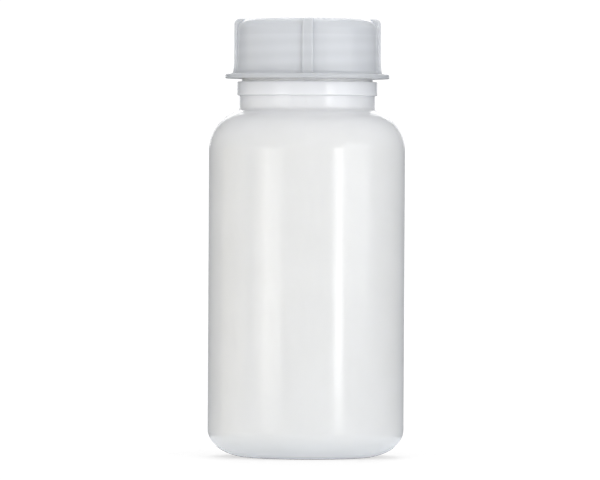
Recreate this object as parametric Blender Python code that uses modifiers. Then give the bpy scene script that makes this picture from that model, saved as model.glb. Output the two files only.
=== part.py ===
"""A wide-neck reagent bottle: the blown bottle, its screw cap and the liner that seals it.

Metres, +Z up. The origin is under the middle of the bottle, on the surface it stands on, and every
piece is turned about the Z axis, which is also the axis the cap unscrews on.
"""

import math

import bmesh
import bpy
from mathutils import Matrix

MM = 0.001
GAP = 0.3 * MM  # left between pieces that would touch
STEPS = 48  # facets round each turned piece

# The bottle's body
BODY_RADIUS = 37.5 * MM
BODY_TOP = 117.2 * MM  # where the straight wall ends and the shoulder starts
WALL = 1.2 * MM
FLOOR = 1.6 * MM
HEEL_WIDTH = 16.0 * MM  # the rounded edge between the wall and the foot
HEEL_HEIGHT = 10.5 * MM
FOOT_WIDTH = 3.0 * MM  # the flat ring that the bottle stands on
HOLLOW_HEIGHT = 4.0 * MM  # how far the middle of the base is pushed up
SHOULDER_WIDTH = 16.0 * MM
SHOULDER_HEIGHT = 16.0 * MM

# The bottle's neck
NECK_RADIUS = 25.8 * MM
NECK_INNER_RADIUS = 23.9 * MM
NECK_INNER_TOP = 136.5 * MM
RING_RADIUS = 26.8 * MM  # the square-edged support ring
RING_BOTTOM = 138.2 * MM
RING_TOP = 143.5 * MM
RING_EDGE = 0.35 * MM
FINISH_RADIUS = 23.8 * MM  # the neck's outside between the turns of its thread
BORE_RADIUS = 21.5 * MM
BORE_BOTTOM = 142.5 * MM
LIP_HEIGHT = 163.8 * MM
LIP_EDGE = 0.5 * MM

# The cap, in heights above its own lower edge
CAP_BOTTOM = 144.7 * MM  # that edge's height when the cap is closed
CAP_HEIGHT = 23.0 * MM
CAP_TOP_THICKNESS = 1.8 * MM
CAP_CORNER_WIDTH = 5.1 * MM
CAP_CORNER_HEIGHT = 4.2 * MM
SKIRT_TOP_RADIUS = 26.6 * MM
SKIRT_FOOT_RADIUS = 26.9 * MM
SKIRT_INNER_RADIUS = 25.3 * MM
SKIRT_INNER_TOP = 17.0 * MM
LINER_SEAT_RADIUS = 23.4 * MM
FLANGE_RADIUS = 31.4 * MM
FLANGE_THICKNESS = 1.7 * MM
FLANGE_EDGE = 0.4 * MM
FLANGE_FILLET = 1.0 * MM

# The grip ribs on the cap
RIB_COUNT = 4
RIB_WIDTH = 4.0 * MM
RIB_RADIUS = 28.0 * MM
RIB_FOOT_RADIUS = 28.9 * MM
RIB_FLARE_HEIGHT = 8.0 * MM
RIB_CORNER = 2.0 * MM
RIB_EDGE = 0.6 * MM
RIB_DROP = 0.15 * MM  # below the cap's top face
RIB_INNER_END = 20.5 * MM
RIB_SKIN = 0.3 * MM  # plastic left between a rib's hidden back and the inside of the cap

# The liner
LINER_RADIUS = 23.2 * MM
LINER_THICKNESS = 1.5 * MM
LINER_EDGE = 0.2 * MM

# The thread on the neck and the matching one in the cap: right-handed, one start
PITCH = 5.0 * MM
THREAD_TURNS = 2.4
THREAD_STEPS = 32  # points on each turn
THREAD_HEIGHT = 1.2 * MM
THREAD_CREST = 0.55 * MM  # half the ridge's width at its crest
THREAD_ROOT = 1.1 * MM  # half its width where it leaves the wall
THREAD_SUNK = 0.45 * MM  # how deep the ridge starts inside the wall
THREAD_START = 149.2 * MM
THREAD_RUN_OUT = 4  # points over which each end of a thread sinks into the wall
THREAD_END_SCALE = 0.2
CAP_THREAD_BELOW = 1.75 * MM  # the cap's ridge hangs under the neck's, clear of its flank

TRANSLUCENT = (0.84, 0.86, 0.85)
CAP_GREY = (0.78, 0.80, 0.81)
LINER_WHITE = (0.92, 0.92, 0.90)


def clear_scene():
    for scene_object in list(bpy.data.objects):
        bpy.data.objects.remove(scene_object)


def new_collection(name):
    collection = bpy.data.collections.new(name)
    bpy.context.scene.collection.children.link(collection)
    return collection


def plastic(name, colour, roughness):
    material = bpy.data.materials.new(name)
    material.use_nodes = True
    shader = material.node_tree.nodes["Principled BSDF"]
    shader.inputs["Base Color"].default_value = (*colour, 1.0)
    shader.inputs["Roughness"].default_value = roughness
    shader.inputs["Metallic"].default_value = 0.0
    return material


def arc(centre, width, height, start, end, steps):
    """Points on an ellipse in the (radius, height) plane, between two angles in degrees."""
    points = []
    for step in range(steps + 1):
        angle = math.radians(start + (end - start) * step / steps)
        points.append((centre[0] + width * math.cos(angle), centre[1] + height * math.sin(angle)))
    return points


def angle_at(distance, width):
    """The angle, in degrees, at which an ellipse of this half width is this far from its centre line."""
    return math.degrees(math.acos(distance / width))


def chamfered(corner, size, first, second):
    """Two points in place of a corner, on the sides that lead to it. Each side is a unit step."""
    return [
        (corner[0] + size * first[0], corner[1] + size * first[1]),
        (corner[0] + size * second[0], corner[1] + size * second[1]),
    ]


def turned(name, profile, collection):
    """Turns a profile, whose outer side runs from top to bottom, into a closed solid."""
    mesh = bpy.data.meshes.new(name)
    points = [(radius, 0.0, height) for radius, height in profile]
    mesh.from_pydata(points, [(i, i + 1) for i in range(len(points) - 1)], [])
    piece = bpy.data.objects.new(name, mesh)
    collection.objects.link(piece)
    screw = piece.modifiers.new("Turn", "SCREW")
    screw.axis = "Z"
    screw.steps = STEPS
    screw.render_steps = STEPS
    screw.use_merge_vertices = True
    screw.merge_threshold = 0.01 * MM
    return piece


def mark_as_tool(tool):
    tool.hide_render = True
    tool.display_type = "WIRE"


def meshed(curve_object, tools):
    """Replaces a curve object by a welded mesh object that a Boolean can use."""
    bpy.context.view_layer.update()
    evaluated = curve_object.evaluated_get(bpy.context.evaluated_depsgraph_get())
    mesh = bpy.data.meshes.new_from_object(evaluated)
    welded = bmesh.new()
    welded.from_mesh(mesh)
    bmesh.ops.remove_doubles(welded, verts=welded.verts, dist=0.001 * MM)
    bmesh.ops.recalc_face_normals(welded, faces=welded.faces)
    welded.to_mesh(mesh)
    welded.free()
    tool = bpy.data.objects.new(curve_object.name + "_mesh", mesh)
    tool.matrix_world = curve_object.matrix_world
    tools.objects.link(tool)
    mark_as_tool(tool)
    bpy.data.objects.remove(curve_object)
    return tool


def closed_outline(name, points, tools):
    """A flat closed curve through these points."""
    curve = bpy.data.curves.new(name, "CURVE")
    curve.dimensions = "2D"
    curve.fill_mode = "BOTH"
    spline = curve.splines.new("POLY")
    spline.points.add(len(points) - 1)
    for point, (x, y) in zip(spline.points, points):
        point.co = (x, y, 0.0, 1.0)
    spline.use_cyclic_u = True
    outline = bpy.data.objects.new(name, curve)
    tools.objects.link(outline)
    return outline


def ridge_section(name, outwards, tools):
    """A ridge's section. Its X runs from the thread's centre line towards the crest."""
    crest = THREAD_HEIGHT + THREAD_SUNK
    widening = (THREAD_ROOT - THREAD_CREST) / THREAD_HEIGHT
    foot = THREAD_ROOT + 2.0 * THREAD_SUNK * widening
    corner = 0.25 * MM
    points = [
        (-THREAD_SUNK, -foot),
        (crest - corner, -THREAD_CREST - corner * widening),
        (crest, -THREAD_CREST + corner),
        (crest, THREAD_CREST - corner),
        (crest - corner, THREAD_CREST + corner * widening),
        (-THREAD_SUNK, foot),
    ]
    return closed_outline(name, [(outwards * x, y) for x, y in points], tools)


def thread(name, wall_radius, start, outwards, tools):
    """A helical ridge on a wall, standing outwards (1) or inwards (-1), that sinks in at both ends."""
    section = ridge_section(name + "_section", outwards, tools)
    curve = bpy.data.curves.new(name, "CURVE")
    curve.dimensions = "3D"
    curve.twist_mode = "Z_UP"
    curve.bevel_mode = "OBJECT"
    curve.bevel_object = section
    curve.use_fill_caps = True
    count = round(THREAD_TURNS * THREAD_STEPS)
    spline = curve.splines.new("POLY")
    spline.points.add(count)
    radius = wall_radius - outwards * THREAD_SUNK
    for step, point in enumerate(spline.points):
        angle = 2.0 * math.pi * step / THREAD_STEPS
        height = start + PITCH * step / THREAD_STEPS
        point.co = (radius * math.cos(angle), radius * math.sin(angle), height, 1.0)
        grown = min(1.0, min(step, count - step) / THREAD_RUN_OUT)
        point.radius = THREAD_END_SCALE + (1.0 - THREAD_END_SCALE) * grown
    ridge = bpy.data.objects.new(name, curve)
    tools.objects.link(ridge)
    tool = meshed(ridge, tools)
    bpy.data.objects.remove(section)
    return tool


def add_to(piece, tool):
    union = piece.modifiers.new("Add " + tool.name, "BOOLEAN")
    union.operation = "UNION"
    union.solver = "EXACT"
    union.object = tool


def bottle_outside():
    """From the lip down to the middle of the base."""
    foot_outer = BODY_RADIUS - HEEL_WIDTH
    foot_inner = foot_outer - FOOT_WIDTH
    shoulder_centre = BODY_RADIUS - SHOULDER_WIDTH
    shoulder_end = angle_at(NECK_RADIUS - shoulder_centre, SHOULDER_WIDTH)
    points = chamfered((FINISH_RADIUS, LIP_HEIGHT), LIP_EDGE, (-1, 0), (0, -1))
    points.append((FINISH_RADIUS, RING_TOP))
    points += chamfered((RING_RADIUS, RING_TOP), RING_EDGE, (-1, 0), (0, -1))
    points += chamfered((RING_RADIUS, RING_BOTTOM), RING_EDGE, (0, 1), (-1, 0))
    points.append((NECK_RADIUS, RING_BOTTOM))
    points += arc((shoulder_centre, BODY_TOP), SHOULDER_WIDTH, SHOULDER_HEIGHT, shoulder_end, 0, 9)
    points += arc((foot_outer, HEEL_HEIGHT), HEEL_WIDTH, HEEL_HEIGHT, 0, -90, 9)
    for step in range(6):
        part_way = step / 5
        hollow = HOLLOW_HEIGHT * (1.0 - math.cos(math.pi * part_way)) / 2.0
        points.append((foot_inner * (1.0 - part_way), hollow))
    return points


def bottle_inside():
    """From the middle of the floor up to the lip."""
    foot_outer = BODY_RADIUS - HEEL_WIDTH
    foot_inner = foot_outer - FOOT_WIDTH
    shoulder_centre = BODY_RADIUS - SHOULDER_WIDTH
    shoulder_width = SHOULDER_WIDTH - WALL
    shoulder_end = angle_at(NECK_INNER_RADIUS - shoulder_centre, shoulder_width)
    points = []
    for step in range(5):
        part_way = step / 4
        hollow = HOLLOW_HEIGHT * (1.0 + math.cos(math.pi * part_way)) / 2.0
        points.append((foot_inner * part_way, FLOOR + hollow))
    heel_centre = (foot_outer, HEEL_HEIGHT)
    points += arc(heel_centre, HEEL_WIDTH - WALL, HEEL_HEIGHT - FLOOR, -90, 0, 8)
    inner_shoulder = (shoulder_centre, BODY_TOP)
    points += arc(inner_shoulder, shoulder_width, SHOULDER_HEIGHT - WALL, 0, shoulder_end, 8)
    points.append((NECK_INNER_RADIUS, NECK_INNER_TOP))
    points.append((BORE_RADIUS, BORE_BOTTOM))
    points += chamfered((BORE_RADIUS, LIP_HEIGHT), LIP_EDGE, (0, -1), (1, 0))
    return points


def make_bottle(pieces, tools):
    bottle = turned("bottle", bottle_inside() + bottle_outside(), pieces)
    add_to(bottle, thread("neck_thread", FINISH_RADIUS, THREAD_START, 1, tools))
    return bottle


def cap_profile():
    """From the middle of the top, down the outside, round the flange and up the inside."""
    corner_centre = (SKIRT_TOP_RADIUS - CAP_CORNER_WIDTH, CAP_HEIGHT - CAP_CORNER_HEIGHT)
    fillet_centre = (SKIRT_FOOT_RADIUS + FLANGE_FILLET, FLANGE_THICKNESS + FLANGE_FILLET)
    points = [(0.0, CAP_HEIGHT)]
    points += arc(corner_centre, CAP_CORNER_WIDTH, CAP_CORNER_HEIGHT, 90, 0, 6)
    points += arc(fillet_centre, FLANGE_FILLET, FLANGE_FILLET, 180, 270, 3)
    points += chamfered((FLANGE_RADIUS, FLANGE_THICKNESS), FLANGE_EDGE, (-1, 0), (0, -1))
    points += chamfered((FLANGE_RADIUS, 0.0), FLANGE_EDGE, (0, 1), (-1, 0))
    points += chamfered((SKIRT_INNER_RADIUS, 0.0), FLANGE_EDGE, (1, 0), (0, 1))
    points.append((SKIRT_INNER_RADIUS, SKIRT_INNER_TOP))
    points.append((LINER_SEAT_RADIUS, CAP_HEIGHT - CAP_TOP_THICKNESS))
    points.append((0.0, CAP_HEIGHT - CAP_TOP_THICKNESS))
    return points


def rib_outline():
    """A rib seen from its side, as (radius, height). Its inner edge stays inside the cap's wall."""
    top = CAP_HEIGHT - RIB_DROP
    back = SKIRT_INNER_RADIUS + RIB_SKIN
    underside = CAP_HEIGHT - CAP_TOP_THICKNESS + RIB_SKIN
    flange_middle = FLANGE_THICKNESS / 2.0
    flare_width = RIB_FOOT_RADIUS - RIB_RADIUS
    points = [(RIB_INNER_END, underside), (RIB_INNER_END, top)]
    points += arc((RIB_RADIUS - RIB_CORNER, top - RIB_CORNER), RIB_CORNER, RIB_CORNER, 90, 0, 4)
    points += arc((RIB_FOOT_RADIUS, RIB_FLARE_HEIGHT), flare_width, RIB_FLARE_HEIGHT, 180, 240, 4)
    points.append((RIB_FOOT_RADIUS, flange_middle))
    points.append((back, flange_middle))
    points.append((back, SKIRT_INNER_TOP))
    points.append((LINER_SEAT_RADIUS, underside))
    return points


def ribs(tools):
    """Every rib as one tool, each a flat outline with its long edges rounded."""
    outline = closed_outline("rib", rib_outline(), tools)
    outline.data.extrude = RIB_WIDTH / 2.0 - RIB_EDGE
    outline.data.bevel_depth = RIB_EDGE
    outline.data.bevel_resolution = 1
    outline.data.offset = -RIB_EDGE
    outline.rotation_euler.x = math.pi / 2.0
    rib = meshed(outline, tools)
    all_ribs = bmesh.new()
    for number in range(RIB_COUNT):
        one = rib.data.copy()
        one.transform(Matrix.Rotation(math.tau * number / RIB_COUNT, 4, "Z") @ rib.matrix_world)
        all_ribs.from_mesh(one)
        bpy.data.meshes.remove(one)
    mesh = bpy.data.meshes.new("ribs")
    all_ribs.to_mesh(mesh)
    all_ribs.free()
    bpy.data.objects.remove(rib)
    tool = bpy.data.objects.new("ribs", mesh)
    tools.objects.link(tool)
    mark_as_tool(tool)
    return tool


def make_cap(pieces, tools):
    cap = turned("screw_cap", cap_profile(), pieces)
    cap.location.z = CAP_BOTTOM
    thread_start = THREAD_START - CAP_THREAD_BELOW - CAP_BOTTOM
    for tool in (ribs(tools), thread("cap_thread", SKIRT_INNER_RADIUS, thread_start, -1, tools)):
        tool.location.z = CAP_BOTTOM
        add_to(cap, tool)
    return cap


def make_liner(pieces):
    profile = [(0.0, LINER_THICKNESS)]
    profile += chamfered((LINER_RADIUS, LINER_THICKNESS), LINER_EDGE, (-1, 0), (0, -1))
    profile += chamfered((LINER_RADIUS, 0.0), LINER_EDGE, (0, 1), (-1, 0))
    profile.append((0.0, 0.0))
    liner = turned("cap_liner", profile, pieces)
    liner.location.z = LIP_HEIGHT + GAP
    return liner


def finish(piece, material):
    """Turns a piece's modifiers into its mesh, with smooth round faces and sharp corners."""
    bpy.context.view_layer.update()
    evaluated = piece.evaluated_get(bpy.context.evaluated_depsgraph_get())
    mesh = bpy.data.meshes.new_from_object(evaluated)
    piece.modifiers.clear()
    piece.data = mesh
    mesh.shade_smooth()
    mesh.set_sharp_from_angle(angle=math.radians(35))
    mesh.materials.clear()
    mesh.materials.append(material)


def main():
    clear_scene()
    pieces = new_collection("reagent_bottle")
    tools = new_collection("tools")
    bottle = make_bottle(pieces, tools)
    cap = make_cap(pieces, tools)
    liner = make_liner(pieces)
    finish(bottle, plastic("bottle_plastic", TRANSLUCENT, 0.35))
    finish(cap, plastic("cap_plastic", CAP_GREY, 0.4))
    finish(liner, plastic("liner_foam", LINER_WHITE, 0.7))


main()
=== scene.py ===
"""The looks of the reagent bottle: fine meshes in place of the CAD solids, milky plastics and a studio.

Metres and radians, +Z up, in the frame's own coordinates. The camera looks along +Y. Each piece is a
profile turned round the Z axis, with its ribs, threads, seams and waves worked into the turned surface.
"""

import math

import bpy
import numpy as np
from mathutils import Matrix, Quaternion, Vector


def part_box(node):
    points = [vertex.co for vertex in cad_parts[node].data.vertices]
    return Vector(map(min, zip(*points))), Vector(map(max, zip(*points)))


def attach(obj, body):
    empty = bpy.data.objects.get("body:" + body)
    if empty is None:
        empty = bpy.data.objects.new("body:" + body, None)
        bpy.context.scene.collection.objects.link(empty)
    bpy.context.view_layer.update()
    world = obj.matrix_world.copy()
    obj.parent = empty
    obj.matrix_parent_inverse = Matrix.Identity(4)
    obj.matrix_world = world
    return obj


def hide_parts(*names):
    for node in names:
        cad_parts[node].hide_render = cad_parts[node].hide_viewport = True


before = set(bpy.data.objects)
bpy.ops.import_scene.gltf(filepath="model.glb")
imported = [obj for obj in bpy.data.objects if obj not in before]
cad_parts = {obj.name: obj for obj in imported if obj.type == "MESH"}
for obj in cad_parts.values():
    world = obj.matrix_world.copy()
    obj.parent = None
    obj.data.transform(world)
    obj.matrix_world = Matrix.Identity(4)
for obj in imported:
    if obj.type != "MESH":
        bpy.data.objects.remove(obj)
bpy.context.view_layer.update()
MM = 0.001

# Sizes read from the frame
BOTTLE_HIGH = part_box("bottle")[1]
CAP_LOW, CAP_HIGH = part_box("screw_cap")
LINER_LOW, LINER_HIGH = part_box("cap_liner")
OUTER_RADIUS = BOTTLE_HIGH.x
LIP_HEIGHT = BOTTLE_HIGH.z
CAP_BOTTOM = CAP_LOW.z
CAP_HEIGHT = CAP_HIGH.z - CAP_BOTTOM
FLANGE_RADIUS = CAP_HIGH.x
LINER_RADIUS = LINER_HIGH.x

# The bottle's mould seams, one at each side, and the weld line under its base
SEAM_HEIGHT = 0.06 * MM
SEAM_HALF_WIDTH = 0.18 * MM
SEAM_BOTTOM = 2.0 * MM
WELD_HEIGHT = 0.5 * MM
WELD_HALF_LENGTH = 15.0 * MM
WELD_HALF_WIDTH = 0.7 * MM
WELD_FADE_START = 0.8 * WELD_HALF_LENGTH

# The bottle's body
BODY_RADIUS = OUTER_RADIUS - SEAM_HEIGHT
BODY_TOP = 117.2 * MM
BOTTLE_WALL = 1.2 * MM
BOTTLE_FLOOR = 1.6 * MM
HEEL_WIDTH = 16.0 * MM
HEEL_HEIGHT = 10.5 * MM
FOOT_WIDTH = 3.0 * MM
HOLLOW_HEIGHT = 4.0 * MM
SHOULDER_WIDTH = 16.0 * MM
SHOULDER_HEIGHT = 16.0 * MM

# The slow waves of the blown wall: the share of each, its count round the bottle, its climb in radians
# for each metre of height, and its phase. They come in over the heel and go out at the shoulder.
WAVE_HEIGHT = 0.03 * MM
WAVES = ((1.0, 2.0, 41.0, 0.0), (0.6, 5.0, -97.0, 1.3))
WAVES_COME_IN = (4.0 * MM, 24.0 * MM)
WAVES_GO_OUT = (108.0 * MM, 122.0 * MM)

# The bottle's neck and its support ring
NECK_RADIUS = 25.8 * MM
NECK_FILLET = 1.5 * MM
NECK_FILLET_REACH = 2.0 * MM
NECK_INNER_RADIUS = 23.9 * MM
NECK_INNER_TOP = 136.5 * MM
NECK_INNER_ROUNDING = 3.0 * MM
RING_RADIUS = 26.8 * MM - SEAM_HEIGHT
RING_BOTTOM = 138.2 * MM
RING_TOP = 143.5 * MM
RING_CORNER = 0.3 * MM
RING_LOWER_EDGE = 0.45 * MM

# The bottle's threaded finish. The heights of its foot and taper are above the support ring.
BORE_RADIUS = 21.5 * MM
BORE_BOTTOM = 142.5 * MM
LIP_ROUNDING = 0.5 * MM
FINISH_RADIUS = 23.8 * MM
FINISH_TAPER_HEIGHT = 2.3 * MM
FINISH_FOOT_HEIGHT = 1.1 * MM
FINISH_FOOT_RADIUS = 25.0 * MM
FINISH_ROUNDING = 0.4 * MM

# The cap, in heights above its lower edge
CAP_TOP_THICKNESS = 1.8 * MM
CAP_TOP_MIDDLE_RADIUS = 18.0 * MM
CAP_CORNER_WIDTH = 5.1 * MM
CAP_CORNER_HEIGHT = 4.2 * MM
CAP_RIM_WIDTH = 3.0 * MM
SKIRT_TOP_RADIUS = 26.6 * MM
SKIRT_FOOT_RADIUS = 26.9 * MM
SKIRT_FILLET = 1.0 * MM
SKIRT_INNER_RADIUS = 25.3 * MM
SKIRT_INNER_TOP = 17.0 * MM
SKIRT_INNER_ROUNDING = 1.0 * MM
LINER_SEAT_RADIUS = 23.4 * MM
LINER_SEAT_ROUNDING = 0.4 * MM
FLANGE_THICKNESS = 1.7 * MM
FLANGE_UPPER_EDGE = 0.5 * MM
FLANGE_LOWER_EDGE = 0.4 * MM

# The cap's ribs. The flare at a rib's foot ends at an angle in degrees.
RIB_COUNT = 4
RIB_HALF_WIDTH = 2.0 * MM
RIB_CREST_SHARES = (0.0, 0.3, 0.55)
RIB_EDGE = 0.6 * MM
RIB_FILLET = 0.3 * MM
RIB_DRAFT = 0.06 * MM
RIB_DROP = 0.15 * MM
RIB_NOTCH_DEPTH = 0.2 * MM
RIB_NOTCH_WIDTH = 0.8 * MM
RIB_CORNER = 2.0 * MM
RIB_RADIUS = 28.0 * MM
RIB_FOOT_RADIUS = 28.9 * MM
RIB_FLARE_HEIGHT = 8.0 * MM
RIB_FLARE_END = 250
SIDE_END_RADIUS = RIB_FOOT_RADIUS + 0.9 * MM
UNDERSIDE_START_RADIUS = RIB_FOOT_RADIUS + 1.0 * MM

# The mark of the moulding gate on the cap's top: a dimple with a low nub in its middle
GATE_RADIUS = 2.6 * MM
GATE_DEPTH = 0.35 * MM
GATE_SLOPE = 0.4 * MM
GATE_ROUNDING = 0.3 * MM
NUB_RADIUS = 0.9 * MM
NUB_FOOT_RADIUS = 1.2 * MM
NUB_HEIGHT = 0.15 * MM
NUB_ROUNDING = 0.2 * MM

# The ring that the bottle's lip has pressed into the liner's underside
LINER_EDGE = 0.25 * MM
PRESS_DEPTH = 0.12 * MM
PRESS_INNER_RADIUS = BORE_RADIUS + 0.4 * MM
PRESS_OUTER_RADIUS = FINISH_RADIUS - 0.8 * MM
PRESS_SLOPE = 0.1 * MM
PRESS_ROUNDING = 0.1 * MM

# The threads: right-handed, one start
PITCH = 5.0 * MM
THREAD_TURNS = 2.4
THREAD_HEIGHT = 1.15 * MM
THREAD_CREST_HALF_WIDTH = 0.45 * MM
THREAD_ROOT_HALF_WIDTH = 1.1 * MM
THREAD_RUN_OUT = math.radians(35)
THREAD_START = 149.2 * MM
CAP_THREAD_START = THREAD_START - 1.75 * MM

# Where the turned surfaces are changed: past the bore, and a little beyond each thread and the weld
BORE_ZONE_RADIUS = BORE_RADIUS + 1.0 * MM
THREAD_ZONE_BOTTOM = RING_TOP + 0.5 * MM
THREAD_ZONE_TOP = LIP_HEIGHT - 0.6 * MM
CAP_THREAD_ZONE_RADIUS = SKIRT_INNER_RADIUS + 0.1 * MM
CAP_THREAD_ZONE_TOP = SKIRT_INNER_TOP - 0.5 * MM
WELD_ZONE_RADIUS = WELD_HALF_LENGTH + 2.0 * MM
WELD_ZONE_TOP = HOLLOW_HEIGHT + 0.1 * MM
UPRIGHT_TOLERANCE = 0.01 * MM

# How fine the meshes are
PLAIN_SPACING = 2.0 * MM
BOTTLE_INSIDE_SPACING = 2.5 * MM
BOTTLE_THREAD_SPACING = 0.2 * MM
CAP_THREAD_SPACING = 0.25 * MM
LINER_SPACING = 1.5 * MM
HOLLOW_STEPS = 24
INNER_ARC_STEPS = 28
OUTER_ARC_STEPS = 32
CAP_CORNER_STEPS = 24
SKIRT_FILLET_STEPS = 8
RIB_CORNER_STEPS = 16
RIB_FLARE_STEPS = 12
RIB_EDGE_STEPS = 7
RIB_FILLET_STEPS = 5
SMALL_ROUNDING_STEPS = 4
CAP_SIDE_ROWS = 90
STEPS_BETWEEN_RIBS = 44
LINER_COLUMNS = 160
SEAM_ZONE_HALF_ANGLE = math.radians(2.5)
SEAM_ZONE_COLUMNS = 20
COLUMNS_BETWEEN_SEAMS = 88

# The materials. A noise is used between its two limits, and scales are in features to a metre.
WHITE = (1.0, 1.0, 1.0)
NOISE_LIMITS = (0.3, 0.7)
POLYETHYLENE_IOR = 1.5
SCATTER_TINT = (1.0, 1.0, 0.95)
SHEEN_WEIGHT = 0.3
SHEEN_ROUGHNESS = 0.35
FLOW_SCALE = 90.0
FLOW_STRETCH = (1.0, 1.0, 0.35)
CLOUD_SCALE = 60.0
GRAIN_SCALE = 1500.0
GRAIN_HEIGHT = 0.02 * MM
FOAM_CELL_SCALE = 2500.0
FOAM_CELL_HEIGHT = 0.05 * MM

# The shades that multiply a plastic's colour, and where along its height or radius each comes in.
# The bands over the cap's thread run on a little past its end.
NECK_SHADE = (0.955, 0.965, 1.015)
NECK_FADE = (BODY_TOP, RING_BOTTOM)
# Painted light: whitens the bottle from just below the ring's top upward, in the shaded gap under the
# cap's flange
PAINTED_GAP_LIGHT = (1.34, 1.33, 1.30)
PAINTED_GAP_LIGHT_FADE = (RING_TOP - 0.2 * MM, RING_TOP + 0.4 * MM)
# Above the gap the painted light is cut back to a slight whitening of the finish
PAINTED_GAP_LIGHT_CUT = (0.8, 0.8, 0.8)
PAINTED_GAP_LIGHT_CUT_FADE = (RING_TOP + 1.5 * MM, RING_TOP + 4.0 * MM)
# Painted shade: greys the cap out where its ribs and flange stand out
PAINTED_RIB_AND_FLANGE_SHADE = (0.86, 0.86, 0.86)
PAINTED_RIB_AND_FLANGE_SHADE_FADE = (SKIRT_FOOT_RADIUS + 0.5 * MM, SKIRT_FOOT_RADIUS + 1.7 * MM)
# Painted light: lighter bands over the cap's thread, standing in for light scattered back from the thicker
# wall there
PAINTED_THREAD_LIGHT = (1.05, 1.05, 1.05)
THREAD_BAND_TURNS = THREAD_TURNS + 0.4

# The floor, an oval that glows a little
FLOOR_GLOW = 0.375
FLOOR_GLOW_COLOUR = (0.92, 0.95, 1.0)
FLOOR_HALF_WIDTH = 55.0 * MM
FLOOR_HALF_DEPTH = 120.0 * MM
FLOOR_STEPS = 96

# The panels above: name, place, width and radiance
HIGH_PANELS = (
    ("top_panel", (0.0, 0.25, 0.75), 0.4, 2.0),
    ("rear_panel", (0.0, 0.8, 0.6), 0.6, 1.5),
)

# The upright panels: name, azimuth in degrees from the camera round to its right, distance, bottom, top,
# width, radiance and colour
UPRIGHT_PANELS = (
    ("right_strip", 36.8, 0.45, 0.0, 0.17, 0.083, 6.0, WHITE),
    ("right_panel", 60.0, 0.45, 0.05, 0.26, 0.27, 1.85, (0.97, 0.985, 1.0)),
    ("left_panel", -40.0, 0.45, 0.0, 0.15, 0.18, 2.4, (1.0, 0.99, 0.95)),
    ("left_wing", -52.0, 0.46, 0.0, 0.15, 0.16, 1.0, (1.0, 0.94, 0.84)),
    ("left_fill", -95.0, 0.8, -0.25, 0.2, 0.6, 0.7, (1.0, 0.91, 0.72)),
    ("front_fill", -14.0, 0.7, 0.1, 0.5, 0.5, 0.4, WHITE),
    ("back_panel", 180.0, 1.0, 0.14, 0.5, 0.66, 1.0, WHITE),
)

# The room, white in front and dim behind, with (position, grey) stops between, a little cooler than grey
BACKGROUND_STRENGTH = 1.07
ROOM_STOPS = ((0.35, 0.85), (0.6, 0.38), (0.8, 0.12))
ROOM_COOLNESS = (0.97, 1.0, 1.06)
ROOM_BEHIND = (0.12, 0.135, 0.16)
ROOM_LIFT = 0.7

# The camera, a long way off, so that upright lines stay nearly parallel
CAMERA_SIDE = -2.5 * MM
CAMERA_DISTANCE = 2.5
CAMERA_HEIGHT = 106.0 * MM
CAMERA_TARGET_HEIGHT = 83.0 * MM
CAMERA_ROLL = math.radians(0.3)
CAMERA_LENS = 392.0
CAMERA_SENSOR = 36.0
CAMERA_CLIP = (0.1, 50.0)


# ---------------------------------------------------------------------------------------------------
# Profiles, as lists of (radius, height)


def arc(centre, width, height, start, end, steps):
    """Points on an ellipse between two angles in degrees."""
    turns = np.radians(np.linspace(start, end, steps + 1))
    return [(centre[0] + width * math.cos(turn), centre[1] + height * math.sin(turn)) for turn in turns]


def angle_at(distance, width):
    """The angle in degrees at which an ellipse of this half width is this far from its centre line."""
    return math.degrees(math.acos(distance / width))


def rounded(corners, steps=6):
    """A path through these corners, each (radius, height, rounding), with a true arc at each inner one."""
    path = [corners[0][:2]]
    for before, corner, after in zip(corners, corners[1:], corners[2:]):
        here = np.array(corner[:2])
        back = np.array(before[:2]) - here
        ahead = np.array(after[:2]) - here
        back /= np.linalg.norm(back)
        ahead /= np.linalg.norm(ahead)
        half = math.acos(float(np.clip(back @ ahead, -1.0, 1.0))) / 2.0
        reach = corner[2] / math.tan(half)
        middle = here + (back + ahead) / np.linalg.norm(back + ahead) * corner[2] / math.sin(half)
        first = here + back * reach - middle
        last = here + ahead * reach - middle
        turn = math.atan2(first[0] * last[1] - first[1] * last[0], float(first @ last))
        for step in range(steps + 1):
            angle = turn * step / steps
            cosine, sine = math.cos(angle), math.sin(angle)
            path.append((
                middle[0] + cosine * first[0] - sine * first[1],
                middle[1] + sine * first[0] + cosine * first[1],
            ))
    path.append(corners[-1][:2])
    return path


def filled_in(path, spacing):
    """The same path, with points added so that no two are further apart than spacing."""
    dense = [path[0]]
    for start, end in zip(path, path[1:]):
        pieces = max(1, math.ceil(math.dist(start, end) / spacing))
        for piece in range(1, pieces + 1):
            part = piece / pieces
            dense.append((start[0] + (end[0] - start[0]) * part, start[1] + (end[1] - start[1]) * part))
    return dense


def filled_in_after_first(path, needs_fine, fine):
    """The path after its first point, filled in to the fine spacing where needs_fine(start, end)."""
    dense = []
    for start, end in zip(path, path[1:]):
        dense += filled_in([start, end], fine if needs_fine(start, end) else PLAIN_SPACING)[1:]
    return dense


def resampled(path, count):
    """Points at even steps along a path."""
    points = np.array(path)
    lengths = np.concatenate([[0.0], np.cumsum(np.linalg.norm(np.diff(points, axis=0), axis=1))])
    wanted = np.linspace(0.0, lengths[-1], count)
    radii = np.interp(wanted, lengths, points[:, 0])
    heights = np.interp(wanted, lengths, points[:, 1])
    return np.stack([radii, heights], axis=1)


# ---------------------------------------------------------------------------------------------------
# Surfaces, as grids of rows by columns


def smooth_step(low, high, value):
    """From 0 at low to 1 at high, level at both ends."""
    part = np.clip((value - low) / (high - low), 0.0, 1.0)
    return part * part * (3.0 - 2.0 * part)


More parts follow.
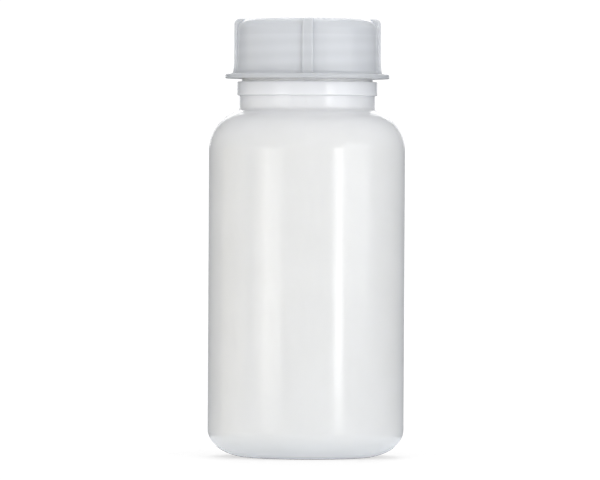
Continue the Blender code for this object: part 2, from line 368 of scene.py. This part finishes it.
def clustered_angles(centres, zone, fine, coarse):
    """Angles round the axis, fine of them in the zone about each centre and coarse in each gap."""
    angles = []
    gap = math.tau / len(centres) - 2.0 * zone
    for centre in centres:
        angles += [centre - zone + 2.0 * zone * step / fine for step in range(fine)]
        angles += [centre + zone + gap * step / coarse for step in range(coarse)]
    return np.array(angles)


def turned(path, angles):
    """The radii and heights of a path turned round the axis, one row for each of its points."""
    points = np.array(path)
    ones = np.ones((1, len(angles)))
    return points[:, :1] * ones, points[:, 1:] * ones


def grid_mesh(name, radii, heights, angles):
    """A closed surface round the axis, whose first and last rows are points on it.

    radii and heights are arrays of rows by columns, and the outer side runs from top to bottom.
    """
    rows, columns = radii.shape
    ring = np.stack([radii * np.cos(angles), radii * np.sin(angles), heights], axis=2)[1:-1]
    vertices = [(0.0, 0.0, heights[0, 0])]
    vertices += ring.reshape(-1, 3).tolist()
    vertices.append((0.0, 0.0, heights[-1, 0]))
    last = len(vertices) - 1

    def at(row, column):
        """The number of the vertex in this row and column of the ring."""
        return 1 + row * columns + column % columns

    faces = []
    for column in range(columns):
        faces.append((0, at(0, column), at(0, column + 1)))
        faces.append((last, at(rows - 3, column + 1), at(rows - 3, column)))
    for row in range(rows - 3):
        below = row + 1
        for column in range(columns):
            beside = column + 1
            faces.append((at(row, column), at(below, column), at(below, beside), at(row, beside)))
    mesh = bpy.data.meshes.new(name)
    mesh.from_pydata(vertices, [], faces)
    mesh.shade_smooth()
    mesh.validate()
    piece = bpy.data.objects.new(name, mesh)
    bpy.context.scene.collection.objects.link(piece)
    return piece


def thread_height(angles, heights, start):
    """How far a thread's ridge stands out of its wall, from 0 to 1, at each row and column."""
    turn = np.mod(angles, math.tau)
    total = math.tau * THREAD_TURNS
    ridge = np.zeros(np.broadcast(angles, heights).shape)
    for lap in range(math.ceil(THREAD_TURNS) + 1):
        along = turn + math.tau * lap
        ends = smooth_step(0.0, THREAD_RUN_OUT, along) * smooth_step(0.0, THREAD_RUN_OUT, total - along)
        away = np.abs(heights - start - PITCH * along / math.tau)
        flank = 1.0 - smooth_step(THREAD_CREST_HALF_WIDTH, THREAD_ROOT_HALF_WIDTH, away)
        ridge = np.maximum(ridge, ends * flank)
    return ridge


# ---------------------------------------------------------------------------------------------------
# The bottle


def base_hollow():
    """The hollow under the base, from its middle out to the foot ring, as half a cosine wave."""
    foot_inner = BODY_RADIUS - HEEL_WIDTH - FOOT_WIDTH
    path = []
    for step in range(HOLLOW_STEPS + 1):
        height = HOLLOW_HEIGHT * (1.0 + math.cos(math.pi * step / HOLLOW_STEPS)) / 2.0
        path.append((foot_inner * step / HOLLOW_STEPS, height))
    return path


def bottle_inside(heel_centre, shoulder_centre):
    """From the middle of the floor up the inside, to where the neck comes out of the shoulder."""
    shoulder_width = SHOULDER_WIDTH - BOTTLE_WALL
    shoulder_height = SHOULDER_HEIGHT - BOTTLE_WALL
    neck = angle_at(NECK_INNER_RADIUS - shoulder_centre[0], shoulder_width)
    path = [(radius, BOTTLE_FLOOR + height) for radius, height in base_hollow()]
    path += arc(heel_centre, HEEL_WIDTH - BOTTLE_WALL, HEEL_HEIGHT - BOTTLE_FLOOR, -90, 0, INNER_ARC_STEPS)
    path += arc(shoulder_centre, shoulder_width, shoulder_height, 0, neck, INNER_ARC_STEPS)
    return path


def bottle_outside(heel_centre, shoulder_centre, inner_neck_foot):
    """From inside the neck over the lip and down the outside, to the middle of the base."""
    neck_end = math.radians(angle_at(NECK_RADIUS - shoulder_centre[0], SHOULDER_WIDTH))
    neck_foot = (NECK_RADIUS, BODY_TOP + SHOULDER_HEIGHT * math.sin(neck_end))
    shoulder_start = angle_at(NECK_RADIUS + NECK_FILLET_REACH - shoulder_centre[0], SHOULDER_WIDTH)
    shoulder = arc(shoulder_centre, SHOULDER_WIDTH, SHOULDER_HEIGHT, shoulder_start, 0, OUTER_ARC_STEPS)
    neck = rounded([
        (*inner_neck_foot, 0.0),
        (NECK_INNER_RADIUS, NECK_INNER_TOP, NECK_INNER_ROUNDING),
        (BORE_RADIUS, BORE_BOTTOM, NECK_INNER_ROUNDING),
        (BORE_RADIUS, LIP_HEIGHT, LIP_ROUNDING),
        (FINISH_RADIUS, LIP_HEIGHT, LIP_ROUNDING),
        (FINISH_RADIUS, RING_TOP + FINISH_TAPER_HEIGHT, FINISH_ROUNDING),
        (FINISH_FOOT_RADIUS, RING_TOP + FINISH_FOOT_HEIGHT, FINISH_ROUNDING),
        (FINISH_FOOT_RADIUS, RING_TOP, RING_CORNER),
        (RING_RADIUS, RING_TOP, RING_CORNER),
        (RING_RADIUS, RING_BOTTOM, RING_LOWER_EDGE),
        (NECK_RADIUS, RING_BOTTOM, RING_CORNER),
        (NECK_RADIUS, BODY_TOP + SHOULDER_HEIGHT, 0.0),
    ])
    path = neck[1:-2]
    path += rounded([(*neck[-2], 0.0), (*neck_foot, NECK_FILLET), (*shoulder[0], 0.0)])
    path += shoulder[1:]
    path += arc(heel_centre, HEEL_WIDTH, HEEL_HEIGHT, 0, -90, OUTER_ARC_STEPS)
    path += base_hollow()[::-1]
    return path


def is_on_finish(start, end):
    """Whether a stretch of the bottle's profile lies between the support ring and the lip."""
    return min(start[1], end[1]) > RING_TOP and max(start[1], end[1]) < LIP_HEIGHT


def wall_waves(angles, heights):
    """How far the blown wall sinks in, from 0 to 1, at each row and column."""
    waves = 0.0
    most = 0.0
    for share, count, climb, phase in WAVES:
        waves = waves + share * np.sin(count * angles + climb * heights + phase)
        most += share
    on_wall = smooth_step(*WAVES_COME_IN, heights) * (1.0 - smooth_step(*WAVES_GO_OUT, heights))
    return on_wall * (waves + most) / (2.0 * most)


def bottle_surface(angles):
    """The bottle's radii and heights, with its thread, its mould seams, its waves and its weld line."""
    heel_centre = (BODY_RADIUS - HEEL_WIDTH, HEEL_HEIGHT)
    shoulder_centre = (BODY_RADIUS - SHOULDER_WIDTH, BODY_TOP)
    inside = bottle_inside(heel_centre, shoulder_centre)
    outside = bottle_outside(heel_centre, shoulder_centre, inside[-1])
    inside = filled_in(inside, BOTTLE_INSIDE_SPACING)
    outside = filled_in_after_first(outside, is_on_finish, BOTTLE_THREAD_SPACING)
    radii, heights = turned(inside + outside, angles)
    past_inside = (np.arange(len(radii)) >= len(inside))[:, None]
    past_bore = past_inside & (radii > BORE_ZONE_RADIUS)

    on_finish = past_bore & (heights > THREAD_ZONE_BOTTOM) & (heights < THREAD_ZONE_TOP)
    ridge = thread_height(angles, heights, THREAD_START)
    radii = radii + np.where(on_finish, THREAD_HEIGHT * ridge, 0.0)

    from_seam = np.abs(np.sin(angles)) * radii
    seam = np.exp(-((from_seam / SEAM_HALF_WIDTH) ** 2))
    radii = radii + np.where(past_bore & (heights > SEAM_BOTTOM), SEAM_HEIGHT * seam, 0.0)
    radii = radii - np.where(past_bore, WAVE_HEIGHT * wall_waves(angles, heights), 0.0)

    in_hollow = past_inside & (heights < WELD_ZONE_TOP) & (radii < WELD_ZONE_RADIUS)
    weld_ends = 1.0 - smooth_step(WELD_FADE_START, WELD_HALF_LENGTH, radii)
    weld = np.exp(-((from_seam / WELD_HALF_WIDTH) ** 4)) * weld_ends
    heights = heights - np.where(in_hollow, WELD_HEIGHT * weld, 0.0)
    return radii, heights


def make_bottle():
    """The blow-moulded bottle, with columns close together at its two seams."""
    seams = [0.0, math.pi]
    angles = clustered_angles(seams, SEAM_ZONE_HALF_ANGLE, SEAM_ZONE_COLUMNS, COLUMNS_BETWEEN_SEAMS)
    radii, heights = bottle_surface(angles)
    bottle = grid_mesh("bottle_shell", radii, heights, angles)
    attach(bottle, "bottle_body")
    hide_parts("bottle")
    return bottle


# ---------------------------------------------------------------------------------------------------
# The cap


def rib_section():
    """Half of a rib's cross-section, as distances from its middle and shares of its full height."""
    rise = RIB_RADIUS - SKIRT_TOP_RADIUS
    edge = (RIB_HALF_WIDTH - RIB_EDGE, rise - RIB_EDGE)
    foot = (RIB_HALF_WIDTH + RIB_DRAFT + RIB_FILLET, RIB_FILLET)
    path = [(RIB_HALF_WIDTH * share, rise) for share in RIB_CREST_SHARES]
    path += arc(edge, RIB_EDGE, RIB_EDGE, 90, 0, RIB_EDGE_STEPS)
    path += arc(foot, RIB_FILLET, RIB_FILLET, 180, 270, RIB_FILLET_STEPS)
    section = np.array(path)
    return section[:, 0], section[:, 1] / rise


def cap_angles():
    """Angles round the cap: one for each point of every rib's section, and even steps between the ribs."""
    distances = rib_section()[0]
    offsets = np.concatenate([-distances[:0:-1], distances]) / SKIRT_TOP_RADIUS
    gap = math.tau / RIB_COUNT - 2.0 * offsets[-1]
    between = offsets[-1] + gap * np.arange(1, STEPS_BETWEEN_RIBS) / STEPS_BETWEEN_RIBS
    sector = np.concatenate([offsets, between])
    return np.concatenate([sector + math.tau * number / RIB_COUNT for number in range(RIB_COUNT)])


def side_between_ribs(start, end):
    """The cap's side between its ribs, from its flat top round its corner and down to its flange."""
    corner = (SKIRT_TOP_RADIUS - CAP_CORNER_WIDTH, CAP_HEIGHT - CAP_CORNER_HEIGHT)
    foot = (SKIRT_FOOT_RADIUS + SKIRT_FILLET, FLANGE_THICKNESS + SKIRT_FILLET)
    path = [start]
    path += arc(corner, CAP_CORNER_WIDTH, CAP_CORNER_HEIGHT, 90, 0, CAP_CORNER_STEPS)
    path += arc(foot, SKIRT_FILLET, SKIRT_FILLET, 180, 270, SKIRT_FILLET_STEPS)
    path.append(end)
    return resampled(path, CAP_SIDE_ROWS)


def side_along_rib(start, end):
    """The crest of a rib, from a small notch in the edge of the flat top to its flare at the flange."""
    notch = SKIRT_TOP_RADIUS - CAP_CORNER_WIDTH
    rib_top = CAP_HEIGHT - RIB_DROP
    corner = (RIB_RADIUS - RIB_CORNER, rib_top - RIB_CORNER)
    flare = (RIB_FOOT_RADIUS, RIB_FLARE_HEIGHT)
    flare_width = RIB_FOOT_RADIUS - RIB_RADIUS
    flare_height = RIB_FLARE_HEIGHT - FLANGE_THICKNESS
    path = [start, (notch, CAP_HEIGHT)]
    path.append((notch + RIB_NOTCH_WIDTH / 2.0, rib_top - RIB_NOTCH_DEPTH))
    path.append((notch + RIB_NOTCH_WIDTH, rib_top))
    path += arc(corner, RIB_CORNER, RIB_CORNER, 90, 0, RIB_CORNER_STEPS)
    path += arc(flare, flare_width, flare_height, 180, RIB_FLARE_END, RIB_FLARE_STEPS)
    path.append(end)
    return resampled(path, CAP_SIDE_ROWS)


def cap_top():
    """The middle of the cap's top, with the shallow dimple of its moulding gate."""
    dimple = CAP_HEIGHT - GATE_DEPTH
    return rounded([
        (0.0, dimple + NUB_HEIGHT, 0.0),
        (NUB_RADIUS, dimple + NUB_HEIGHT, NUB_ROUNDING),
        (NUB_FOOT_RADIUS, dimple, NUB_ROUNDING),
        (GATE_RADIUS, dimple, GATE_ROUNDING),
        (GATE_RADIUS + GATE_SLOPE, CAP_HEIGHT, GATE_ROUNDING),
        (CAP_TOP_MIDDLE_RADIUS, CAP_HEIGHT, 0.0),
    ], SMALL_ROUNDING_STEPS)


def cap_underside():
    """From the flange's upper side round its edge and foot, and up the inside to the middle."""
    return rounded([
        (UNDERSIDE_START_RADIUS, FLANGE_THICKNESS, 0.0),
        (FLANGE_RADIUS, FLANGE_THICKNESS, FLANGE_UPPER_EDGE),
        (FLANGE_RADIUS, 0.0, FLANGE_LOWER_EDGE),
        (SKIRT_INNER_RADIUS, 0.0, FLANGE_LOWER_EDGE),
        (SKIRT_INNER_RADIUS, SKIRT_INNER_TOP, SKIRT_INNER_ROUNDING),
        (LINER_SEAT_RADIUS, CAP_HEIGHT - CAP_TOP_THICKNESS, LINER_SEAT_ROUNDING),
        (0.0, CAP_HEIGHT - CAP_TOP_THICKNESS, 0.0),
    ])


def is_on_inner_wall(start, end):
    """Whether a stretch of the cap's underside is part of the upright wall that holds the thread."""
    is_upright = abs(start[0] - end[0]) < UPRIGHT_TOLERANCE
    return is_upright and start[0] < SKIRT_TOP_RADIUS


def cap_surface(angles):
    """The cap's radii and heights: its top, its side with the ribs, and its inside with the thread."""
    top_radii, top_heights = turned(filled_in(cap_top(), PLAIN_SPACING), angles)

    start = (SKIRT_TOP_RADIUS - CAP_CORNER_WIDTH - CAP_RIM_WIDTH, CAP_HEIGHT)
    end = (SIDE_END_RADIUS, FLANGE_THICKNESS)
    between = side_between_ribs(start, end)
    crest = side_along_rib(start, end)
    sector = math.tau / RIB_COUNT
    from_rib = np.abs(np.mod(angles + sector / 2.0, sector) - sector / 2.0) * SKIRT_TOP_RADIUS
    rib = np.interp(from_rib, *rib_section())[None, :]
    side_radii = between[:, :1] * (1.0 - rib) + crest[:, :1] * rib
    side_heights = between[:, 1:] * (1.0 - rib) + crest[:, 1:] * rib

    under = filled_in_after_first(cap_underside(), is_on_inner_wall, CAP_THREAD_SPACING)
    under_radii, under_heights = turned(under, angles)
    on_wall = (under_radii < CAP_THREAD_ZONE_RADIUS) & (under_heights < CAP_THREAD_ZONE_TOP)
    ridge = thread_height(angles, under_heights, CAP_THREAD_START - CAP_BOTTOM)
    under_radii = under_radii - np.where(on_wall, THREAD_HEIGHT * ridge, 0.0)

    radii = np.concatenate([top_radii, side_radii, under_radii])
    heights = np.concatenate([top_heights, side_heights, under_heights]) + CAP_BOTTOM
    return radii, heights


def make_cap():
    """The screw cap, with its ribs, its flange and its thread."""
    angles = cap_angles()
    radii, heights = cap_surface(angles)
    cap = grid_mesh("cap_shell", radii, heights, angles)
    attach(cap, "cap_body")
    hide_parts("screw_cap")
    return cap


# ---------------------------------------------------------------------------------------------------
# The liner


def make_liner():
    """The sealing disc, with the ring that the bottle's lip has pressed into its underside."""
    high = LINER_HIGH.z
    low = LINER_LOW.z
    pressed = low + PRESS_DEPTH
    path = rounded([
        (0.0, high, 0.0),
        (LINER_RADIUS, high, LINER_EDGE),
        (LINER_RADIUS, low, LINER_EDGE),
        (PRESS_OUTER_RADIUS, low, PRESS_ROUNDING),
        (PRESS_OUTER_RADIUS - PRESS_SLOPE, pressed, PRESS_ROUNDING),
        (PRESS_INNER_RADIUS + PRESS_SLOPE, pressed, PRESS_ROUNDING),
        (PRESS_INNER_RADIUS, low, PRESS_ROUNDING),
        (0.0, low, 0.0),
    ], SMALL_ROUNDING_STEPS)
    angles = np.linspace(0.0, math.tau, LINER_COLUMNS, endpoint=False)
    radii, heights = turned(filled_in(path, LINER_SPACING), angles)
    liner = grid_mesh("liner_disc", radii, heights, angles)
    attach(liner, "liner_body")
    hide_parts("cap_liner")
    return liner


# ---------------------------------------------------------------------------------------------------
# Materials


def new_material(name):
    """A material, its node tree and its shader."""
    material = bpy.data.materials.new(name)
    material.use_nodes = True
    return material, material.node_tree, material.node_tree.nodes["Principled BSDF"]


def noise(tree, scale, detail=3.0, roughness=0.5, stretch=(1.0, 1.0, 1.0)):
    """Noise in the object's own coordinates, with this many features to a metre."""
    place = tree.nodes.new("ShaderNodeTexCoord")
    mapping = tree.nodes.new("ShaderNodeMapping")
    mapping.inputs["Scale"].default_value = stretch
    texture = tree.nodes.new("ShaderNodeTexNoise")
    texture.inputs["Scale"].default_value = scale
    texture.inputs["Detail"].default_value = detail
    texture.inputs["Roughness"].default_value = roughness
    tree.links.new(place.outputs["Object"], mapping.inputs["Vector"])
    tree.links.new(mapping.outputs["Vector"], texture.inputs["Vector"])
    return texture.outputs["Fac"]


def ranged(tree, value, low, high):
    """A noise, spread from low to high."""
    spread = tree.nodes.new("ShaderNodeMapRange")
    spread.inputs["From Min"].default_value = NOISE_LIMITS[0]
    spread.inputs["From Max"].default_value = NOISE_LIMITS[1]
    spread.inputs["To Min"].default_value = low
    spread.inputs["To Max"].default_value = high
    tree.links.new(value, spread.inputs["Value"])
    return spread.outputs["Result"]


def blended(tree, value, dark, light):
    """Two colours mixed by a noise."""
    ramp = tree.nodes.new("ShaderNodeValToRGB")
    ends = zip(ramp.color_ramp.elements, NOISE_LIMITS, (dark, light))
    for element, position, colour in ends:
        element.position = position
        element.color = (*colour, 1.0)
    tree.links.new(value, ramp.inputs["Fac"])
    return ramp.outputs["Color"]


def bumped(tree, shader, heights, distance, strength):
    """Gives a shader fine relief of this height and strength."""
    bump = tree.nodes.new("ShaderNodeBump")
    bump.inputs["Distance"].default_value = distance
    bump.inputs["Strength"].default_value = strength
    tree.links.new(heights, bump.inputs["Height"])
    tree.links.new(bump.outputs["Normal"], shader.inputs["Normal"])


def math_node(tree, operation, *values):
    """One step of arithmetic on numbers and outputs of other nodes."""
    node = tree.nodes.new("ShaderNodeMath")
    node.operation = operation
    for socket, value in zip(node.inputs, values):
        if isinstance(value, (int, float)):
            socket.default_value = value
        else:
            tree.links.new(value, socket)
    return node.outputs["Value"]


def distance_along(tree, axes):
    """How far a point is from the object's origin, along these axes only."""
    place = tree.nodes.new("ShaderNodeTexCoord")
    chosen = tree.nodes.new("ShaderNodeVectorMath")
    chosen.operation = "MULTIPLY"
    chosen.inputs[1].default_value = axes
    size = tree.nodes.new("ShaderNodeVectorMath")
    size.operation = "LENGTH"
    tree.links.new(place.outputs["Object"], chosen.inputs[0])
    tree.links.new(chosen.outputs["Vector"], size.inputs[0])
    return size.outputs["Value"]


def shaded(tree, colour, value, start, end, shade):
    """A colour that is multiplied by a shade, which comes in as a value passes from start to end."""
    amount = tree.nodes.new("ShaderNodeMapRange")
    amount.inputs["From Min"].default_value = start
    amount.inputs["From Max"].default_value = end
    change = tree.nodes.new("ShaderNodeMix")
    change.data_type = "RGBA"
    change.inputs["A"].default_value = (*WHITE, 1.0)
    change.inputs["B"].default_value = (*shade, 1.0)
    product = tree.nodes.new("ShaderNodeVectorMath")
    product.operation = "MULTIPLY"
    tree.links.new(value, amount.inputs["Value"])
    tree.links.new(amount.outputs["Result"], change.inputs["Factor"])
    tree.links.new(colour, product.inputs[0])
    tree.links.new(change.outputs["Result"], product.inputs[1])
    return product.outputs["Vector"]


def painted_thread_light_bands(tree):
    """Where the painted thread light goes: from 0 between the turns of the cap's thread to 1 along its
    crest, where its wall is thickest.
    """
    place = tree.nodes.new("ShaderNodeTexCoord")
    split = tree.nodes.new("ShaderNodeSeparateXYZ")
    tree.links.new(place.outputs["Object"], split.inputs["Vector"])
    angle = math_node(tree, "ARCTAN2", split.outputs["Y"], split.outputs["X"])
    turn = math_node(tree, "DIVIDE", angle, math.tau)
    climb = math_node(tree, "SUBTRACT", split.outputs["Z"], CAP_THREAD_START)
    rise = math_node(tree, "DIVIDE", climb, PITCH)
    lap = math_node(tree, "FRACT", math_node(tree, "SUBTRACT", rise, turn))
    wave = math_node(tree, "COSINE", math_node(tree, "MULTIPLY", lap, math.tau))
    band = math_node(tree, "MULTIPLY_ADD", wave, 0.5, 0.5)
    above = math_node(tree, "GREATER_THAN", rise, 0.0)
    below = math_node(tree, "LESS_THAN", rise, THREAD_BAND_TURNS)
    return math_node(tree, "MULTIPLY", band, math_node(tree, "MULTIPLY", above, below))


def milky_plastic(name, dark, light, depth, clear, rough, specular):
    """Translucent polyethylene: light scatters over about this depth, and its clear share goes through."""
    material, tree, shader = new_material(name)
    shader.inputs["Subsurface Weight"].default_value = 1.0
    shader.inputs["Subsurface Radius"].default_value = SCATTER_TINT
    shader.inputs["Subsurface Scale"].default_value = depth
    shader.inputs["IOR"].default_value = POLYETHYLENE_IOR
    shader.inputs["Specular IOR Level"].default_value = specular
    shader.inputs["Transmission Weight"].default_value = clear
    shader.inputs["Sheen Weight"].default_value = SHEEN_WEIGHT
    shader.inputs["Sheen Roughness"].default_value = SHEEN_ROUGHNESS
    flow = noise(tree, FLOW_SCALE, detail=4.0, stretch=FLOW_STRETCH)
    tree.links.new(ranged(tree, flow, *rough), shader.inputs["Roughness"])
    grain = noise(tree, GRAIN_SCALE, roughness=0.6)
    bumped(tree, shader, grain, distance=GRAIN_HEIGHT, strength=0.25)
    clouds = noise(tree, CLOUD_SCALE, detail=2.0, roughness=0.4)
    return material, tree, shader, blended(tree, clouds, dark, light)


def bottle_plastic():
    """A little bluer in the neck, with painted light whitening the finish's foot in the shaded gap under
    the cap's flange, cut back again above that.
    """
    material, tree, shader, colour = milky_plastic(
        "bottle_plastic",
        dark=(0.733, 0.733, 0.712),
        light=(0.753, 0.753, 0.732),
        depth=3.5 * MM,
        clear=0.0,
        rough=(0.16, 0.22),
        specular=0.5,
    )
    height = distance_along(tree, (0.0, 0.0, 1.0))
    colour = shaded(tree, colour, height, *NECK_FADE, NECK_SHADE)
    # Painted light in the gap under the cap's flange, cut back above it
    colour = shaded(tree, colour, height, *PAINTED_GAP_LIGHT_FADE, PAINTED_GAP_LIGHT)
    colour = shaded(tree, colour, height, *PAINTED_GAP_LIGHT_CUT_FADE, PAINTED_GAP_LIGHT_CUT)
    tree.links.new(colour, shader.inputs["Base Color"])
    return material


def cap_plastic():
    """Painted shade greys it out where the ribs and the flange stand out, and painted light makes it
    lighter over the turns of the thread inside.
    """
    material, tree, shader, colour = milky_plastic(
        "cap_plastic",
        dark=(0.667, 0.683, 0.707),
        light=(0.687, 0.703, 0.727),
        depth=1.5 * MM,
        clear=0.22,
        rough=(0.18, 0.25),
        specular=0.3,
    )
    radius = distance_along(tree, (1.0, 1.0, 0.0))
    # Painted shade on the ribs and flange, then painted light over the thread
    colour = shaded(tree, colour, radius, *PAINTED_RIB_AND_FLANGE_SHADE_FADE, PAINTED_RIB_AND_FLANGE_SHADE)
    colour = shaded(tree, colour, painted_thread_light_bands(tree), 0.0, 1.0, PAINTED_THREAD_LIGHT)
    tree.links.new(colour, shader.inputs["Base Color"])
    return material


def liner_foam():
    """White foam with fine cells."""
    material, tree, shader = new_material("liner_foam")
    place = tree.nodes.new("ShaderNodeTexCoord")
    cells = tree.nodes.new("ShaderNodeTexVoronoi")
    cells.inputs["Scale"].default_value = FOAM_CELL_SCALE
    tree.links.new(place.outputs["Object"], cells.inputs["Vector"])
    bumped(tree, shader, cells.outputs["Distance"], distance=FOAM_CELL_HEIGHT, strength=0.5)
    colour = blended(tree, noise(tree, scale=400.0), dark=(0.82, 0.82, 0.80), light=(0.9, 0.9, 0.88))
    tree.links.new(colour, shader.inputs["Base Color"])
    roughness = ranged(tree, noise(tree, scale=300.0), low=0.6, high=0.8)
    tree.links.new(roughness, shader.inputs["Roughness"])
    return material


def lit_floor():
    """A white light table: it glows a little, and takes a soft shadow."""
    material, tree, shader = new_material("lit_floor")
    colour = blended(tree, noise(tree, scale=1.5), dark=(0.53, 0.55, 0.58), light=(0.55, 0.57, 0.6))
    tree.links.new(colour, shader.inputs["Base Color"])
    shader.inputs["Roughness"].default_value = 0.9
    shader.inputs["Specular IOR Level"].default_value = 0.1
    shader.inputs["Emission Color"].default_value = (*FLOOR_GLOW_COLOUR, 1.0)
    shader.inputs["Emission Strength"].default_value = FLOOR_GLOW
    return material


# ---------------------------------------------------------------------------------------------------
# Studio


def make_floor():
    """A pale oval under the bottle, narrow at its sides so that the bottle's heel stays dark there."""
    turns = [math.tau * step / FLOOR_STEPS for step in range(FLOOR_STEPS)]
    rim = [(FLOOR_HALF_WIDTH * math.cos(turn), FLOOR_HALF_DEPTH * math.sin(turn), 0.0) for turn in turns]
    mesh = bpy.data.meshes.new("floor")
    mesh.from_pydata(rim, [], [tuple(range(FLOOR_STEPS))])
    floor = bpy.data.objects.new("floor", mesh)
    bpy.context.scene.collection.objects.link(floor)
    floor.data.materials.append(lit_floor())
    floor.is_shadow_catcher = True


def soft_panel(name, place, target, width, height, radiance, colour):
    """A soft panel of light that faces a target, and that the camera doesn't see."""
    data = bpy.data.lights.new(name, "AREA")
    data.shape = "RECTANGLE"
    data.size = width
    data.size_y = height
    data.color = colour
    data.energy = radiance * math.pi * width * height
    lamp = bpy.data.objects.new(name, data)
    bpy.context.scene.collection.objects.link(lamp)
    lamp.location = place
    lamp.rotation_euler = (Vector(target) - lamp.location).to_track_quat("-Z", "Y").to_euler()
    lamp.visible_camera = False


def make_lights():
    """The square panels above, tilted to face the bottle's foot, and the upright ones round the bottle."""
    for name, place, width, radiance in HIGH_PANELS:
        soft_panel(name, place, (0.0, 0.0, 0.0), width, width, radiance, WHITE)
    for name, azimuth, distance, bottom, top, width, radiance, colour in UPRIGHT_PANELS:
        angle = math.radians(azimuth)
        middle = (top + bottom) / 2.0
        place = (distance * math.sin(angle), -distance * math.cos(angle), middle)
        soft_panel(name, place, (0.0, 0.0, middle), width, top - bottom, radiance, colour)


def room_colour(tree):
    """The room's colour by direction: white in front of the bottle, and dim behind it except high up."""
    place = tree.nodes.new("ShaderNodeTexCoord")
    split = tree.nodes.new("ShaderNodeSeparateXYZ")
    lift = tree.nodes.new("ShaderNodeMapRange")
    lift.inputs["To Max"].default_value = ROOM_LIFT
    behind = tree.nodes.new("ShaderNodeMapRange")
    behind.inputs["From Min"].default_value = -1.0
    behind.inputs["From Max"].default_value = 1.0
    ramp = tree.nodes.new("ShaderNodeValToRGB")
    elements = ramp.color_ramp.elements
    elements[0].color = (*WHITE, 1.0)
    elements[1].color = (*ROOM_BEHIND, 1.0)
    for position, grey in ROOM_STOPS:
        elements.new(position).color = (*(grey * share for share in ROOM_COOLNESS), 1.0)
    tree.links.new(place.outputs["Generated"], split.inputs["Vector"])
    tree.links.new(split.outputs["Z"], lift.inputs["Value"])
    lowered = math_node(tree, "SUBTRACT", split.outputs["Y"], lift.outputs["Result"])
    tree.links.new(lowered, behind.inputs["Value"])
    tree.links.new(behind.outputs["Result"], ramp.inputs["Fac"])
    return ramp.outputs["Color"]


def make_world():
    """White for what the camera sees, also through the plastic, and the room for all other light."""
    world = bpy.data.worlds.new("studio")
    bpy.context.scene.world = world
    world.use_nodes = True
    tree = world.node_tree
    seen = tree.nodes["Background"]
    seen.inputs["Color"].default_value = (*WHITE, 1.0)
    seen.inputs["Strength"].default_value = BACKGROUND_STRENGTH
    room = tree.nodes.new("ShaderNodeBackground")
    tree.links.new(room_colour(tree), room.inputs["Color"])
    ray = tree.nodes.new("ShaderNodeLightPath").outputs
    straight = math_node(tree, "MAXIMUM", ray["Is Camera Ray"], ray["Is Transmission Ray"])
    mix = tree.nodes.new("ShaderNodeMixShader")
    tree.links.new(straight, mix.inputs["Fac"])
    tree.links.new(room.outputs["Background"], mix.inputs[1])
    tree.links.new(seen.outputs["Background"], mix.inputs[2])
    tree.links.new(mix.outputs["Shader"], tree.nodes["World Output"].inputs["Surface"])


def make_camera():
    """A camera in front of the bottle and above its middle, looking slightly down on it."""
    eye = Vector((CAMERA_SIDE, -CAMERA_DISTANCE, CAMERA_HEIGHT))
    target = Vector((CAMERA_SIDE, 0.0, CAMERA_TARGET_HEIGHT))
    data = bpy.data.cameras.new("camera")
    data.sensor_width = CAMERA_SENSOR
    data.lens = CAMERA_LENS
    data.clip_start, data.clip_end = CAMERA_CLIP
    camera = bpy.data.objects.new("camera", data)
    bpy.context.scene.collection.objects.link(camera)
    camera.location = eye
    camera.rotation_mode = "QUATERNION"
    aim = (target - eye).to_track_quat("-Z", "Y")
    camera.rotation_quaternion = aim @ Quaternion((0.0, 0.0, 1.0), CAMERA_ROLL)
    bpy.context.scene.camera = camera


def main():
    """Makes the three pieces, gives each its material, and sets up the studio."""
    bottle = make_bottle()
    cap = make_cap()
    liner = make_liner()
    bottle.data.materials.append(bottle_plastic())
    cap.data.materials.append(cap_plastic())
    liner.data.materials.append(liner_foam())
    make_floor()
    make_lights()
    make_world()
    make_camera()
    bpy.context.scene.view_settings.view_transform = "Standard"


main()
